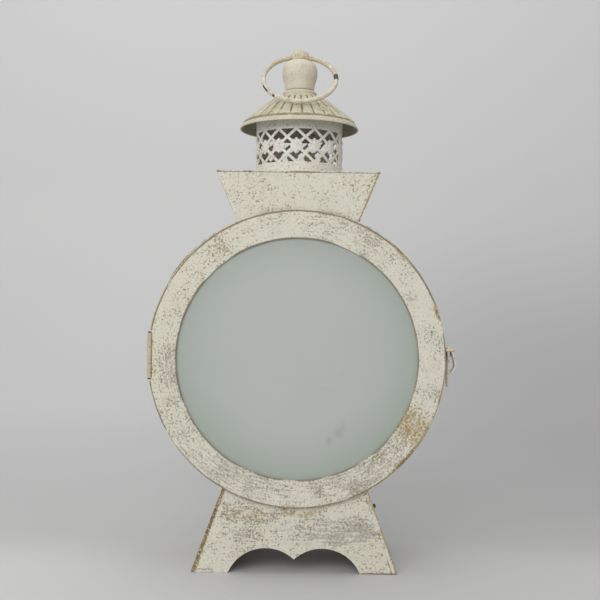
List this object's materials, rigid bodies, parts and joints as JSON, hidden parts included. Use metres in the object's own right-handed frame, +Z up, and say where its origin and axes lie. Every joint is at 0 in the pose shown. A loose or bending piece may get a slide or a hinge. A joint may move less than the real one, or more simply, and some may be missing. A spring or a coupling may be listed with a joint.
{
  "type": "candle lantern",
  "caption": "Clock-shaped painted metal candle lantern: round glazed drum with a hinged door and latch, on an arched foot, under a pierced chimney, fluted roof and carry ring.",
  "frame": {"origin": "on the floor, under the middle of the overall width and depth", "axes": "+Z up, -Y out of the door, +X towards the latch"},
  "size_m": [0.2296, 0.0988, 0.4],
  "materials": {
    "body_paint": "matt cream paint brushed over an ochre base coat, worn through at the edges",
    "ring_paint": "matt off-white paint dabbed over ochre, worn at the rim",
    "top_paint": "matt cream paint, darker in the grooves",
    "inner_paint": "plain matt cream paint",
    "frosted_glass": "frosted, grey-green",
    "worn_steel": "dull steel with traces of paint"
  },
  "bodies": {
    "body": {"barrel": "body_paint", "front_frame_ring": "ring_paint", "rear_frame_ring": "ring_paint", "rear_glass": "frosted_glass", "rear_glass_clip_1": "worn_steel", "rear_glass_clip_2": "worn_steel", "rear_glass_clip_3": "worn_steel", "rear_glass_clip_4": "worn_steel", "neck_front": "body_paint", "neck_rear": "body_paint", "neck_side_left": "body_paint", "neck_side_right": "body_paint", "neck_top": "body_paint", "foot_front": "body_paint", "foot_rear": "body_paint", "foot_side_left": "body_paint", "foot_side_right": "body_paint", "foot_rivet": "worn_steel", "gallery": "top_paint", "roof": "top_paint", "finial_base": "top_paint", "finial_knob": "top_paint", "finial_stud": "worn_steel", "finial_nut": "worn_steel", "candle_shelf": "inner_paint", "candle_cup": "inner_paint", "hinge_leaf_frame": "body_paint", "hinge_pin": "worn_steel", "hinge_rivet_upper": "worn_steel", "hinge_rivet_lower": "worn_steel", "latch_pivot": "worn_steel"},
    "door": {"door_ring": "ring_paint", "door_glass": "frosted_glass", "door_glass_clip_1": "worn_steel", "door_glass_clip_2": "worn_steel", "door_glass_clip_3": "worn_steel", "door_glass_clip_4": "worn_steel", "hinge_leaf_door": "ring_paint", "door_catch_pin": "ring_paint"},
    "latch": {"latch_hook": "body_paint"},
    "handle": {"carry_ring": "top_paint"}
  },
  "joints": [
    {"name": "door_swing", "type": "hinge", "parent": "body", "child": "door", "pos_m": [-0.113, -0.0488, 0.1602], "axis": [0, 0, -1], "range_deg": [0, 110]},
    {"name": "latch_turn", "type": "hinge", "parent": "body", "child": "latch", "pos_m": [0.1089, -0.033, 0.1632], "axis": [-1, 0, 0], "range_deg": [0, 90]},
    {"name": "ring_swing", "type": "hinge", "parent": "body", "child": "handle", "pos_m": [-0.0048, 0, 0.394], "axis": [-1, 0, 0], "range_deg": [0, 278]}
  ]
}
